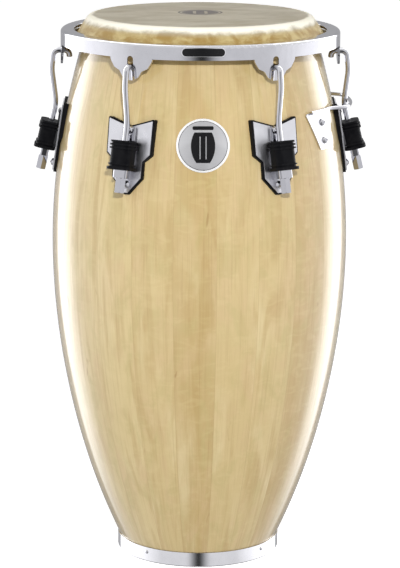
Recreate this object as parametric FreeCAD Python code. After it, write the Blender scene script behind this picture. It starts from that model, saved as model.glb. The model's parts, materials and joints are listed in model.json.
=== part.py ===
"""Conga drum: a staved barrel with a skin head under a soft rim, six hook lugs, and a side handle.

Millimetres. The origin is the middle of the base ring's underside, and +Z goes up through the head.
The front, with the badge, faces -Y. Azimuths are degrees from the front, positive towards +X.
"""
import FreeCAD, Part
import math
import os

V = FreeCAD.Vector
ORIGIN = V(0, 0, 0)
UP = V(0, 0, 1)
TOUCH = 0.05              # gap left between curved pieces that rest on each other

# Barrel
STAVE_COUNT = 22
FIRST_SEAM = 5.3          # azimuth of the first glue line
WALL = 11.5
SHELL_BOTTOM = 1.6
SEAT_RADIUS = 112.9       # turned seat for the base ring
SEAT_TOP = 21.0
EDGE_TOP = 761.95         # crest of the bearing edge
EDGE_RADIUS = 6.0
EDGE_CREST = 149.5        # radius of the crest
EDGE_FLAT = 1.0
EDGE_SLOPE = 74.4         # barrel's slope, from the horizontal, where the edge's rounding starts
BARREL = [                # height and outer radius, from the base ring's top to the bearing edge
    (21.0, 113.4),
    (120.0, 153.2),
    (280.0, 192.6),
    (440.0, 206.6),
    (600.0, 193.3),
    (690.0, 173.7),
    (757.56, 155.28),
]
FOOT_INNER = 93.0         # inner radius at the foot

# Base ring
RING_OUTER = 115.0
RING_TOP = 20.7
RING_LIP = 1.5
RING_LIP_INNER = 105.0
RING_SCREW_AZIMUTHS = [-40.0, 50.0, 140.0, 230.0]
RING_SCREW_HEIGHT = 14.0
RING_SCREW_RADIUS = 1.5
RING_SCREW_LENGTH = 10.0
RING_SCREW_HEAD = 2.8     # radius of the screws' domed heads
RING_SCREW_DOME = 1.6
RING_SCREW_CROSS = (3.0, 0.8, 0.9)

# Head: skin over the bearing edge, wrapped round the flesh hoop
HEAD_TOP = 764.0
SKIN = 1.95
HEAD_BEND = 9.95          # outer radius of the skin's bend over the bearing edge
COLLAR_ANGLE = 57.6       # fall of the collar below the horizontal
COLLAR_END = (169.5, 741.2)
HOOP_CENTRE = (181.5, 736.95)
HOOP_WIRE = 3.0
TUCK_ANGLE = 135.0        # where the wrapped skin ends, over the top of the hoop

# Rim
RIM_OUTER = 193.7
RIM_SHEET = 3.0
RIM_TOP = 745.0
RIM_ROLL = 4.5
RIM_SKIRT_BOTTOM = 725.0
RIM_LIP_INNER = 175.0
EAR = [(33.5, 727.0), (30.5, 720.0), (25.4, 712.0), (17.0, 708.0), (12.0, 700.0), (4.0, 695.6)]
EAR_CORNER = 3.0
SLOT_WIDTH = 8.9
SLOT_BOTTOM = 709.9
SLOT_TOP = 728.0

# Nameplate on the rim
PLATE_LENGTH = 59.0
PLATE_HEIGHT = 12.8
PLATE_CENTRE = 736.0
PLATE_BORDER = 1.3
PLATE_THICK = 1.2
PANEL_THICK = 0.7

# Lugs
LUG_COUNT = 6
FIRST_LUG = -30.0
LUG_HEIGHT = 593.5
LUG_TILT = 9.2
LUG_OUTLINE = [           # half outline of the gasket: sideways and up from the lug's middle
    (0.0, 41.0),
    (33.0, 51.2),
    (35.5, 51.2),
    (34.7, 3.0),
    (23.5, -7.1),
    (23.5, -28.9),
    (4.0, -51.2),
]
LUG_CORNER = 1.8
GASKET = 2.5              # gasket thickness on the lug's middle line
GASKET_DEPTH = 12.0
LUG_PLATE = 2.0
LUG_INSET = 2.3
LUG_BOLT_HEIGHTS = [35.0, -38.0]
LUG_BOLT_RADIUS = 3.0
STRAP_WIDTH = 20.0
STRAP_THICK = 3.0
STRAP_TOP = 38.0
STRAP_BOTTOM = -15.0
STRAP_WINDOW = 7.0        # radius of the opening in the strap round the upper bolt's head
BEYOND = 100.0            # reach of a cutting block past the piece it trims

# Tension rods and their nuts, sleeves and boots
ROD = 4.0
ROD_TILT = 13.4
THREAD_GAP = 0.05
ROD_HOLE = 4.4
HOOK_POINTS = [           # radius and height of the rod's corners, from the tip to the straight run
    (181.6, 704.3),
    (181.6, 714.0),
    (203.1, 714.0),
    (206.6, 688.0),
    (200.6, 641.0),
]
HOOK_BENDS = [7.5, 8.0, 60.0, 60.0]
HOOK_TIP_ROUND = 1.5
BOOT_TOP = 615.5          # height at which the rod enters the boot
BOOT_LENGTH = 39.0
BOOT_WIDTH = 31.0
BOOT_DEPTH = 25.0
BOOT_OUTWARD = 1.5        # boot's middle, outwards of the rod
BOOT_CORNER = 9.0
BOOT_FINS = [             # start below the boot's top, thickness, and how far the fin stands out
    (0.0, 2.4, 1.2),
    (4.4, 2.2, 1.8),
    (9.0, 2.0, 1.9),
    (30.6, 1.8, 1.4),
    (35.2, 3.8, 2.6),
]
SLEEVE_TOP = 6.0
SLEEVE_BOTTOM = 34.0
SLEEVE_WIDTH = 22.0
SLEEVE_FRONT = 6.5        # sleeve's front face, outwards of the rod
SLEEVE_CORNER = 5.0
SLEEVE_BACK = 24.0
COLLAR_BOTTOM = 49.5      # the collar is the slim end of the sleeve, which the nut pulls against
COLLAR_WIDTH = 20.5
COLLAR_DEPTH = 12.0
COLLAR_CORNER = 3.0
NUT_LENGTH = 20.0
NUT_FLATS = 13.0
NUT_BEVEL = 0.8
ROD_END = 65.5            # rod's lower end, along the rod from the boot's top

# Bolts through the wall
HEAD_DOME_RADIUS = 5.5
HEAD_DOME_HEIGHT = 4.6
CROSS = (5.0, 1.1, 2.0)    # length, width and depth of the recess for a screwdriver
BOLT_PROUD = 1.0
HOLE_GAP = 0.3
SPOT_FACE = 9.0
WALL_SEAT = 11.4          # depth of the washers' seats below the outer surface
WASHER_RADIUS = 8.0
WASHER_THICK = 1.5
HEX_NUT_THICK = 5.0
HEX_NUT_FLATS = 10.0

# Badge
BADGE_HEIGHT = 611.6
BADGE_TILT = 10.2
BADGE_RADIUS = 35.8
BADGE_THICK = 1.2
BADGE_RING = 3.0
BADGE_RING_THICK = 1.7
EMBLEM_THICK = 0.4
EMBLEM_TOP = (11.5, 17.5) # sideways and up from the badge's middle
EMBLEM_BELLY = (16.0, 2.5)
EMBLEM_FOOT = (9.0, -23.0)
EMBLEM_BARS = [-4.0, 4.0]
EMBLEM_BAR_WIDTH = 1.5
EMBLEM_BAR_LENGTH = 30.0
EMBLEM_BAR_BOTTOM = -18.0
EMBLEM_HEAD_WIDTH = 28.0
EMBLEM_HEAD_HEIGHTS = (20.8, 25.8)
EMBLEM_HEAD_CORNER = 2.0

# Handle
HANDLE_AZIMUTH = 90.0
HANDLE_PLATE_OFFSET = 30.5
HANDLE_HEIGHT = 618.0
HANDLE_TILT = 10.6
HANDLE_OUTLINE = [(33.0, 26.0), (35.0, 23.5), (12.5, -26.0), (8.0, -26.0)]
HANDLE_CORNER = 1.8
HANDLE_PLATE = 2.0
HANDLE_BOLT_HEIGHTS = [10.2, -14.2]
HANDLE_BOLT_RADIUS = 2.5
BAR_RADIUS = 2.6
BAR_HEIGHT = 644.0
BAR_STANDOFF = 4.0        # bar's centre line, outwards of the barrel where it lies on the plates
BAR_GRIP = 209.2          # radius of the bar's centre line round the middle lug's rod
BAR_END_ANGLE = 38.5      # angles from the handle's middle: the bar's ends,
BAR_LEAVES_ANGLE = 25.0   # where the bar leaves the barrel,
BAR_GRIP_ANGLE = 13.5     # and where its grip starts
BAR_LEG_PULL = 19.0       # how far each end of a leg runs on before it swings over

SHEET_SWEEP = 50.0        # width, in degrees, of the sheet that the curved plates are cut from
HALVINGS = 40


def barrel_curve(gap=0.0):
    """The barrel's outer profile, in the XZ half plane, moved outwards by a gap."""
    curve = Part.BSplineCurve()
    curve.interpolate([V(radius + gap, 0, height) for height, radius in BARREL])
    return curve


def barrel_radius(height):
    """The barrel's outer radius at a height."""
    curve = barrel_curve()
    low = curve.FirstParameter
    high = curve.LastParameter
    for _ in range(HALVINGS):
        middle = (low + high) / 2
        if curve.value(middle).z < height:
            low = middle
        else:
            high = middle
    return curve.value(low).x


def line(start, end):
    return Part.makeLine(start, end)


def arc(start, middle, end):
    return Part.Arc(start, middle, end).toShape()


def polyline(points):
    return [line(a, b) for a, b in zip(points, points[1:])]


def face_of(edges):
    return Part.Face(Part.Wire(Part.__sortEdges__(edges)))


def revolved(edges, sweep=360.0):
    return face_of(edges).revolve(ORIGIN, UP, sweep)


def filled_barrel(gap):
    """A solid barrel, as wide as the shell's outside plus a gap."""
    curve = barrel_curve(gap)
    top = curve.EndPoint
    bottom = curve.StartPoint
    axis = [top, V(0, 0, top.z), V(0, 0, bottom.z), bottom]
    return revolved([curve.toShape()] + polyline(axis))


def around(shape, azimuth):
    """Turn a shape from the front to an azimuth."""
    turned = shape.copy()
    turned.rotate(ORIGIN, UP, azimuth)
    return turned


def lean(shape, radius, height, tilt):
    """Stand a flat-built shape on the drum's front: x sideways, y up and leaning in, z outwards."""
    angle = math.radians(tilt)
    climb = V(0, math.sin(angle), math.cos(angle))
    outward = V(0, -math.cos(angle), math.sin(angle))
    rotation = FreeCAD.Rotation(V(1, 0, 0), climb, outward, "ZXY")
    placed = shape.copy()
    placed.Placement = FreeCAD.Placement(V(0, -radius, height), rotation).multiply(placed.Placement)
    return placed


def on_barrel(shape, height, tilt):
    return lean(shape, barrel_radius(height), height, tilt)


def mirrored_outline(half):
    """Close a half outline, given on the right, with its mirror image on the left."""
    left = [(-x, y) for x, y in reversed(half) if x > 0]
    return half + left


def prism(points, bottom, top, corner=0.0):
    """Extrude an outline along z, with its corners rounded."""
    corners = [V(x, y, bottom) for x, y in points]
    solid = Part.Face(Part.makePolygon(corners + corners[:1])).extrude(V(0, 0, top - bottom))
    if corner > 0:
        solid = solid.makeFillet(corner, [edge for edge in solid.Edges if is_along_z(edge)])
    return solid


def is_along_z(edge):
    start = edge.Vertexes[0].Point
    end = edge.Vertexes[-1].Point
    return abs(start.x - end.x) + abs(start.y - end.y) < TOUCH < abs(start.z - end.z)


def inset_prism(solid, inset, bottom, top):
    """A prism on the same outline as another, drawn in on every side."""
    outline = min(solid.Faces, key=lambda face: face.CenterOfMass.z).OuterWire
    inner = outline.makeOffset2D(-inset)
    inner.translate(V(0, 0, bottom - inner.BoundBox.ZMin))
    return Part.Face(inner).extrude(V(0, 0, top - bottom))


def block(width, depth, bottom, top, corner, shift=0.0):
    """A block standing along y, with its upright corners rounded; shift moves it along z."""
    solid = Part.makeBox(width, top - bottom, depth, V(-width / 2, bottom, shift - depth / 2))
    upright = [edge for edge in solid.Edges if edge.BoundBox.YLength > (top - bottom) / 2]
    return solid.makeFillet(corner, upright)


def rod_cylinder(radius, bottom, top):
    """A cylinder along y, on the rod's axis."""
    return Part.makeCylinder(radius, top - bottom, V(0, bottom, 0), V(0, 1, 0))


def along_z(radius, bottom, top, x=0.0, y=0.0):
    return Part.makeCylinder(radius, top - bottom, V(x, y, bottom), V(0, 0, 1))


def hexagon(flats, bottom, top):
    """A hexagonal prism along z, with its corners bevelled by a cone at each end."""
    radius = flats / math.sqrt(3)
    turns = [math.radians(angle) for angle in range(0, 360, 60)]
    points = [(radius * math.cos(turn), radius * math.sin(turn)) for turn in turns]
    length = top - bottom
    reach = radius - NUT_BEVEL + length
    lower = Part.makeCone(radius - NUT_BEVEL, reach, length, V(0, 0, bottom), V(0, 0, 1))
    upper = Part.makeCone(radius - NUT_BEVEL, reach, length, V(0, 0, top), V(0, 0, -1))
    return prism(points, bottom, top).common(lower).common(upper)


def domed_head(radius, height, cross, seat):
    """A domed head with a cross recess, its underside at the seat."""
    sphere_radius = (radius ** 2 + height ** 2) / (2 * height)
    top = seat + height
    dome = Part.makeSphere(sphere_radius, V(0, 0, top - sphere_radius))
    head = dome.common(along_z(radius, seat, top))
    length, width, depth = cross
    for x, y in [(length, width), (width, length)]:
        head = head.cut(Part.makeBox(x, y, depth, V(-x / 2, -y / 2, top - depth)))
    return head


def bolt_end():
    """The depth at which a bolt through the wall ends."""
    return -(WALL_SEAT + WASHER_THICK + HEX_NUT_THICK + BOLT_PROUD)


def wall_bolt(radius, seat):
    head = domed_head(HEAD_DOME_RADIUS, HEAD_DOME_HEIGHT, CROSS, seat)
    return head.fuse(along_z(radius, bolt_end(), seat))


def wall_hole(radius):
    """What a bolt takes out of the wall: its hole and the flat seat for the washer inside."""
    hole = along_z(radius + HOLE_GAP, bolt_end(), GASKET_DEPTH)
    return hole.fuse(along_z(SPOT_FACE, bolt_end(), -WALL_SEAT))


def wall_washer(radius):
    disc = along_z(WASHER_RADIUS, -WALL_SEAT - WASHER_THICK, -WALL_SEAT)
    return disc.cut(along_z(radius + HOLE_GAP, bolt_end(), 0))


def wall_nut(radius):
    top = -WALL_SEAT - WASHER_THICK
    bore = along_z(radius + THREAD_GAP, bolt_end(), 0)
    return hexagon(HEX_NUT_FLATS, top - HEX_NUT_THICK, top).cut(bore)


def lug_bolt(azimuth, rise):
    return {
        "kind": "lug",
        "azimuth": azimuth,
        "height": LUG_HEIGHT,
        "tilt": LUG_TILT,
        "rise": rise,
        "radius": LUG_BOLT_RADIUS,
        "seat": GASKET + LUG_PLATE,
    }


def handle_bolt(azimuth, rise):
    return {
        "kind": "handle",
        "azimuth": azimuth,
        "height": HANDLE_HEIGHT,
        "tilt": HANDLE_TILT,
        "rise": rise,
        "radius": HANDLE_BOLT_RADIUS,
        "seat": HANDLE_PLATE + 2 * TOUCH,
    }


def bolt_sites():
    """Every bolt through the wall: where it stands, its radius and its head's seat."""
    lugs = [lug_bolt(azimuth, rise) for azimuth in lug_azimuths() for rise in LUG_BOLT_HEIGHTS]
    handles = [handle_bolt(azimuth, rise) for azimuth in handle_azimuths() for rise in HANDLE_BOLT_HEIGHTS]
    return lugs + handles


def at_site(shape, site):
    raised = shape.copy()
    raised.translate(V(0, site["rise"], 0))
    return around(on_barrel(raised, site["height"], site["tilt"]), site["azimuth"])


def lug_azimuths():
    return [FIRST_LUG + k * 360.0 / LUG_COUNT for k in range(LUG_COUNT)]


def handle_azimuths():
    return [HANDLE_AZIMUTH - HANDLE_PLATE_OFFSET, HANDLE_AZIMUTH + HANDLE_PLATE_OFFSET]


def stave_section():
    """The wall's section: ring seat, barrel, bearing edge, inner bevel and inner wall."""
    lean_in = math.radians(90 - EDGE_SLOPE)
    edge_centre = V(EDGE_CREST, 0, EDGE_TOP - EDGE_RADIUS)
    outer = barrel_curve()
    inner = Part.BSplineCurve()
    wall_points = [V(radius - WALL, 0, height) for height, radius in BARREL[:-1]]
    bevel_end = V(BARREL[-1][1] - WALL, 0, EDGE_TOP - WALL / 2)
    inner.interpolate([V(FOOT_INNER, 0, SHELL_BOTTOM)] + wall_points + [bevel_end])
    halfway = math.pi / 4 + lean_in / 2
    bend = V(math.cos(halfway), 0, math.sin(halfway))
    crest = V(EDGE_CREST, 0, EDGE_TOP)
    rounding = arc(outer.EndPoint, edge_centre + bend * EDGE_RADIUS, crest)
    edges = [outer.toShape(), inner.toShape(), rounding]
    edges += polyline([crest, V(EDGE_CREST - EDGE_FLAT, 0, EDGE_TOP), inner.EndPoint])
    edges += polyline([inner.StartPoint, V(SEAT_RADIUS, 0, SHELL_BOTTOM), V(SEAT_RADIUS, 0, SEAT_TOP),
                       outer.StartPoint])
    return edges


def shell_staves():
    """The staves, edge to edge round the barrel, drilled for the bolts and screws."""
    width = 360.0 / STAVE_COUNT
    stave = revolved(stave_section(), width)
    # The section lies at azimuth 90, so a turn of -90 brings its first face to the front.
    drills = [(site["azimuth"], at_site(wall_hole(site["radius"]), site)) for site in bolt_sites()]
    drills += [(azimuth, ring_screw_hole(azimuth)) for azimuth in RING_SCREW_AZIMUTHS]
    staves = []
    for k in range(STAVE_COUNT):
        start = FIRST_SEAM + k * width
        solid = around(stave, start - 90)
        for azimuth, drill in drills:
            if (azimuth - start + width / 2) % 360 < 2 * width:
                solid = solid.cut(drill)
        staves.append(solid)
    return Part.makeCompound(staves)


def ring_screw_hole(azimuth):
    hole = along_z(RING_SCREW_RADIUS + TOUCH, -RING_SCREW_LENGTH - TOUCH, RING_OUTER - SEAT_RADIUS)
    return around(lean(hole, SEAT_RADIUS, RING_SCREW_HEIGHT, 0), azimuth)


def base_ring():
    inner = SEAT_RADIUS + TOUCH
    points = [
        (RING_LIP_INNER, 0),
        (RING_OUTER - RING_LIP, 0),
        (RING_OUTER, RING_LIP),
        (RING_OUTER, RING_TOP),
        (inner, RING_TOP),
        (inner, RING_LIP),
        (RING_LIP_INNER, RING_LIP),
    ]
    corners = [V(x, 0, z) for x, z in points]
    ring = revolved(polyline(corners + corners[:1]))
    for azimuth in RING_SCREW_AZIMUTHS:
        ring = ring.cut(ring_screw_hole(azimuth))
    return ring


def base_ring_screws():
    seat = RING_OUTER - SEAT_RADIUS + TOUCH
    head = domed_head(RING_SCREW_HEAD, RING_SCREW_DOME, RING_SCREW_CROSS, seat)
    screw = head.fuse(along_z(RING_SCREW_RADIUS, -RING_SCREW_LENGTH, seat))
    upright = lean(screw, SEAT_RADIUS, RING_SCREW_HEIGHT, 0)
    return Part.makeCompound([around(upright, azimuth) for azimuth in RING_SCREW_AZIMUTHS])


def head_skin():
    """The skin: flat top, bend over the bearing edge, collar, and the wrap round the flesh hoop."""
    fall = math.radians(COLLAR_ANGLE)
    bend_centre = V(EDGE_CREST, 0, HEAD_TOP - HEAD_BEND)
    bend_start = V(EDGE_CREST, 0, HEAD_TOP)
    bend_middle = bend_centre + V(math.sin(fall / 2), 0, math.cos(fall / 2)) * HEAD_BEND
    bend_end = bend_centre + V(math.sin(fall), 0, math.cos(fall)) * HEAD_BEND
    collar_end = V(COLLAR_END[0], 0, COLLAR_END[1])
    hoop = V(HOOP_CENTRE[0], 0, HOOP_CENTRE[1])
    grip = HOOP_WIRE + TOUCH
    under = hoop + V(0, 0, -grip)
    # The flare is an arc that starts at the collar's end and runs level under the hoop.
    run = under.x - collar_end.x
    drop = collar_end.z - under.z
    flare = (run ** 2 + drop ** 2) / (2 * drop)
    sweep = math.asin(run / flare) / 2
    flare_middle = under + V(-flare * math.sin(sweep), 0, flare - flare * math.cos(sweep))
    tuck = math.radians(TUCK_ANGLE)
    wrap_end = hoop + V(math.cos(tuck), 0, math.sin(tuck)) * grip
    path = [
        line(V(0, 0, HEAD_TOP), bend_start),
        arc(bend_start, bend_middle, bend_end),
        line(bend_end, collar_end),
        arc(collar_end, flare_middle, under),
        arc(under, hoop + V(grip, 0, 0), wrap_end),
    ]
    section = Part.Wire(path).makeOffset2D(-SKIN, openResult=True, fill=True)
    return section.revolve(ORIGIN, UP, 360.0)


def flesh_hoop():
    return Part.makeTorus(HOOP_CENTRE[0], HOOP_WIRE, V(0, 0, HOOP_CENTRE[1]), UP)


def rim_tube(inner, outer, bottom, top):
    height = top - bottom
    ring = Part.makeCylinder(outer, height, V(0, 0, bottom))
    return ring.cut(Part.makeCylinder(inner, height, V(0, 0, bottom)))


def facing_prism(points, corner=0.0):
    """An outline in sideways and height, run outwards from inside the rim to beyond it."""
    solid = prism(points, RIM_LIP_INNER, RIM_OUTER + WALL, corner)
    return lean(solid, 0, 0, 0)


def pill(ends, radius):
    """A prism run outwards through the rim's front: round at both ends, its long side level or upright."""
    (x0, y0), (x1, y1) = ends
    side = radius if y0 == y1 else 0
    across = radius - side
    corners = [
        (x0 - across, y0 - side),
        (x1 + across, y0 - side),
        (x1 + across, y1 + side),
        (x0 - across, y1 + side),
    ]
    bar = facing_prism(corners)
    for x, y in ends:
        bar = bar.fuse(lean(along_z(radius, RIM_LIP_INNER, RIM_OUTER + WALL, x, y), 0, 0, 0))
    return bar.removeSplitter()


def plate_pill(border):
    """The nameplate's outline, drawn in by a border."""
    radius = PLATE_HEIGHT / 2 - border
    reach = (PLATE_LENGTH - PLATE_HEIGHT) / 2
    return pill([(-reach, PLATE_CENTRE), (reach, PLATE_CENTRE)], radius)


def rim():
    """The rim: rolled lip, skirt, and six slotted ears for the hooks."""
    inner = RIM_OUTER - RIM_SHEET
    roll = V(RIM_OUTER - RIM_ROLL, 0, RIM_TOP - RIM_ROLL)
    half_turn = V(math.sqrt(0.5), 0, math.sqrt(0.5))
    inner_roll = RIM_ROLL - RIM_SHEET
    lip_middle = V(RIM_LIP_INNER, 0, RIM_TOP - RIM_SHEET / 2)
    lip_top = V(RIM_LIP_INNER + RIM_SHEET / 2, 0, RIM_TOP)
    lip_bottom = V(RIM_LIP_INNER + RIM_SHEET / 2, 0, RIM_TOP - RIM_SHEET)
    edges = [
        line(V(RIM_OUTER, 0, RIM_SKIRT_BOTTOM), V(RIM_OUTER, 0, roll.z)),
        arc(V(RIM_OUTER, 0, roll.z), roll + half_turn * RIM_ROLL, V(roll.x, 0, RIM_TOP)),
        line(V(roll.x, 0, RIM_TOP), lip_top),
        arc(lip_top, lip_middle, lip_bottom),
        line(lip_bottom, V(roll.x, 0, RIM_TOP - RIM_SHEET)),
        arc(V(roll.x, 0, RIM_TOP - RIM_SHEET), roll + half_turn * inner_roll, V(inner, 0, roll.z)),
        line(V(inner, 0, roll.z), V(inner, 0, RIM_SKIRT_BOTTOM)),
        line(V(inner, 0, RIM_SKIRT_BOTTOM), V(RIM_OUTER, 0, RIM_SKIRT_BOTTOM)),
    ]
    hoop = revolved(edges)
    band = rim_tube(inner, RIM_OUTER, EAR[-1][1] - EAR_CORNER, EAR[0][1])
    ear = band.common(facing_prism(mirrored_outline(EAR), EAR_CORNER))
    half = SLOT_WIDTH / 2
    slot = pill([(0, SLOT_BOTTOM + half), (0, SLOT_TOP - half)], half)
    for azimuth in lug_azimuths():
        hoop = hoop.fuse(around(ear, azimuth))
    hoop = hoop.removeSplitter()
    for azimuth in lug_azimuths():
        hoop = hoop.cut(around(slot, azimuth))
    return hoop


def rim_nameplate():
    """A pill-shaped frame curved to the skirt."""
    back = RIM_OUTER + TOUCH
    tube = rim_tube(back, back + PLATE_THICK, RIM_SKIRT_BOTTOM, RIM_TOP)
    return tube.common(plate_pill(0)).cut(plate_pill(PLATE_BORDER))


def nameplate_panel():
    back = RIM_OUTER + TOUCH
    tube = rim_tube(back, back + PANEL_THICK, RIM_SKIRT_BOTTOM, RIM_TOP)
    return tube.common(plate_pill(PLATE_BORDER))


def lug_gasket():
    """Rubber gasket: flat in front, shaped to the barrel behind."""
    pad = prism(mirrored_outline(LUG_OUTLINE), -GASKET_DEPTH, GASKET, LUG_CORNER)
    for y in LUG_BOLT_HEIGHTS:
        pad = pad.cut(along_z(LUG_BOLT_RADIUS + HOLE_GAP, -GASKET_DEPTH, GASKET, 0, y))
    return on_barrel(pad, LUG_HEIGHT, LUG_TILT).cut(filled_barrel(TOUCH))


def lug_plate():
    pad = prism(mirrored_outline(LUG_OUTLINE), GASKET, GASKET + LUG_PLATE, LUG_CORNER)
    plate = inset_prism(pad, LUG_INSET, GASKET, GASKET + LUG_PLATE)
    for y in LUG_BOLT_HEIGHTS:
        plate = plate.cut(along_z(LUG_BOLT_RADIUS + HOLE_GAP, 0, GASKET_DEPTH, 0, y))
    return on_barrel(plate, LUG_HEIGHT, LUG_TILT)


def on_rod(shape):
    """Place a shape built on the rod's axis: y runs up the rod from the boot's top."""
    return lean(shape, rod_radius(BOOT_TOP), BOOT_TOP, ROD_TILT)


def rod_radius(height):
    """The rod's distance from the drum's axis where it runs straight."""
    bend_radius, bend_height = HOOK_POINTS[-1]
    return bend_radius + (bend_height - height) * math.tan(math.radians(ROD_TILT))


def half_space(front):
    """Everything behind a plane at the lug, the plane standing a little off the barrel."""
    corners = [(-BEYOND, -BEYOND), (BEYOND, -BEYOND), (BEYOND, BEYOND), (-BEYOND, BEYOND)]
    return on_barrel(prism(corners, -BEYOND, front), LUG_HEIGHT, LUG_TILT)


def lug_bracket():
    """Strap on the lug plate, carrying the sleeve and collar that the rod pulls against."""
    front = GASKET + LUG_PLATE
    half = STRAP_WIDTH / 2
    outline = [(-half, STRAP_BOTTOM), (half, STRAP_BOTTOM), (half, STRAP_TOP), (-half, STRAP_TOP)]
    strap = prism(outline, front, front + STRAP_THICK)
    strap = strap.cut(along_z(STRAP_WINDOW, 0, GASKET_DEPTH, 0, LUG_BOLT_HEIGHTS[0]))
    strap = on_barrel(strap, LUG_HEIGHT, LUG_TILT)
    depth = SLEEVE_FRONT + SLEEVE_BACK
    middle = SLEEVE_FRONT - depth / 2
    sleeve = block(SLEEVE_WIDTH, depth, -SLEEVE_BOTTOM, -SLEEVE_TOP, SLEEVE_CORNER, middle)
    sleeve = on_rod(sleeve).cut(half_space(front))
    collar = on_rod(block(COLLAR_WIDTH, COLLAR_DEPTH, -COLLAR_BOTTOM, -SLEEVE_TOP, COLLAR_CORNER))
    bore = on_rod(rod_cylinder(ROD_HOLE, -COLLAR_BOTTOM - ROD, 0))
    return strap.fuse(sleeve).fuse(collar).removeSplitter().cut(bore)


def rubber_boot(bracket):
    """Finned rubber boot over the sleeve."""
    boot = block(BOOT_WIDTH, BOOT_DEPTH, -BOOT_LENGTH, 0, BOOT_CORNER, BOOT_OUTWARD)
    for start, thick, proud in BOOT_FINS:
        width = BOOT_WIDTH + 2 * proud
        depth = BOOT_DEPTH + 2 * proud
        boot = boot.fuse(block(width, depth, -start - thick, -start, BOOT_CORNER, BOOT_OUTWARD))
    boot = on_rod(boot.removeSplitter()).cut(half_space(GASKET + LUG_PLATE + TOUCH))
    return boot.cut(bracket).cut(on_rod(rod_cylinder(ROD_HOLE, -COLLAR_BOTTOM, ROD)))


def tuning_hook():
    """The tension rod: hooked tip, bend over the ear, gentle bend, and the straight threaded end."""
    points = [V(0, -radius, height) for radius, height in HOOK_POINTS]
    end_height = BOOT_TOP - ROD_END * math.cos(math.radians(ROD_TILT))
    points.append(V(0, -rod_radius(end_height), end_height))
    edges = []
    start = points[0]
    for before, corner, after, bend in zip(points, points[1:], points[2:], HOOK_BENDS):
        towards = (before - corner).normalize()
        onwards = (after - corner).normalize()
        half = towards.getAngle(onwards) / 2
        reach = bend / math.tan(half)
        middle = (towards + onwards).normalize() * (bend / math.sin(half) - bend)
        edges.append(line(start, corner + towards * reach))
        edges.append(arc(corner + towards * reach, corner + middle, corner + onwards * reach))
        start = corner + onwards * reach
    edges.append(line(start, points[-1]))
    path = Part.Wire(edges)
    section = Part.Wire(Part.makeCircle(ROD, points[0], points[1] - points[0]))
    rod = path.makePipeShell([section], True, False)
    ends = [edge for edge in rod.Edges if is_end_circle(edge, points)]
    return rod.makeFillet(HOOK_TIP_ROUND, ends)


def is_end_circle(edge, points):
    centre = edge.BoundBox.Center
    return min(centre.distanceToPoint(points[0]), centre.distanceToPoint(points[-1])) < TOUCH


def tuning_nut():
    nut = hexagon(NUT_FLATS, -NUT_LENGTH, 0).cut(along_z(ROD + THREAD_GAP, -NUT_LENGTH, 0))
    nut.rotate(ORIGIN, V(1, 0, 0), -90)
    nut.translate(V(0, -COLLAR_BOTTOM, 0))
    return on_rod(nut)


def conform(shape, inner_gap, outer_gap):
    """Keep what lies between two gaps from the barrel's surface, of a shape on the drum's front."""
    inner = barrel_curve(inner_gap)
    outer = barrel_curve(outer_gap)
    ends = [line(inner.StartPoint, outer.StartPoint), line(inner.EndPoint, outer.EndPoint)]
    sheet = revolved([inner.toShape(), outer.toShape()] + ends, SHEET_SWEEP)
    return shape.common(around(sheet, -90 - SHEET_SWEEP / 2))


def badge_disc():
    plate = on_barrel(along_z(BADGE_RADIUS, -WALL, WALL), BADGE_HEIGHT, BADGE_TILT)
    inner = on_barrel(along_z(BADGE_RADIUS - BADGE_RING, -WALL, WALL), BADGE_HEIGHT, BADGE_TILT)
    disc = conform(inner, TOUCH, TOUCH + BADGE_THICK)
    border = conform(plate.cut(inner), TOUCH, TOUCH + BADGE_RING_THICK)
    return disc.fuse(border).removeSplitter()


def badge_emblem():
    """A plain pictogram of a barrel drum, with its head as a separate bar."""
    right = [V(x, y, 0) for x, y in (EMBLEM_TOP, EMBLEM_BELLY, EMBLEM_FOOT)]
    left = [V(-x, y, 0) for x, y in (EMBLEM_TOP, EMBLEM_BELLY, EMBLEM_FOOT)]
    body = face_of([arc(*right), arc(*left), line(right[0], left[0]), line(right[-1], left[-1])])
    body = body.extrude(V(0, 0, WALL))
    for x in EMBLEM_BARS:
        corner = V(x - EMBLEM_BAR_WIDTH / 2, EMBLEM_BAR_BOTTOM, 0)
        body = body.cut(Part.makeBox(EMBLEM_BAR_WIDTH, EMBLEM_BAR_LENGTH, WALL, corner))
    half = EMBLEM_HEAD_WIDTH / 2
    bottom, top = EMBLEM_HEAD_HEIGHTS
    head = prism([(-half, bottom), (half, bottom), (half, top), (-half, top)], 0, WALL, EMBLEM_HEAD_CORNER)
    raised = [on_barrel(shape, BADGE_HEIGHT, BADGE_TILT) for shape in (body, head)]
    inner = 2 * TOUCH + BADGE_THICK
    return Part.makeCompound([conform(shape, inner, inner + EMBLEM_THICK) for shape in raised])


def bar_point(radius, angle):
    """A point at the bar's height, its angle measured from the handle's middle."""
    turn = math.radians(angle)
    return V(radius * math.cos(turn), radius * math.sin(turn), BAR_HEIGHT)


def bar_direction(angle):
    turn = math.radians(angle)
    return V(-math.sin(turn), math.cos(turn), 0)


def bar_arc(radius, start, end):
    return arc(bar_point(radius, start), bar_point(radius, (start + end) / 2), bar_point(radius, end))


def bar_leg(sign):
    """The S-shaped leg from the barrel out to the grip."""
    ride = barrel_radius(BAR_HEIGHT) + BAR_STANDOFF
    foot = bar_point(ride, sign * BAR_LEAVES_ANGLE)
    top = bar_point(BAR_GRIP, sign * BAR_GRIP_ANGLE)
    foot_pull = foot - bar_direction(sign * BAR_LEAVES_ANGLE) * (sign * BAR_LEG_PULL)
    top_pull = top + bar_direction(sign * BAR_GRIP_ANGLE) * (sign * BAR_LEG_PULL)
    leg = Part.BezierCurve()
    leg.setPoles([foot, foot_pull, top_pull, top])
    return leg.toShape()


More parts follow.
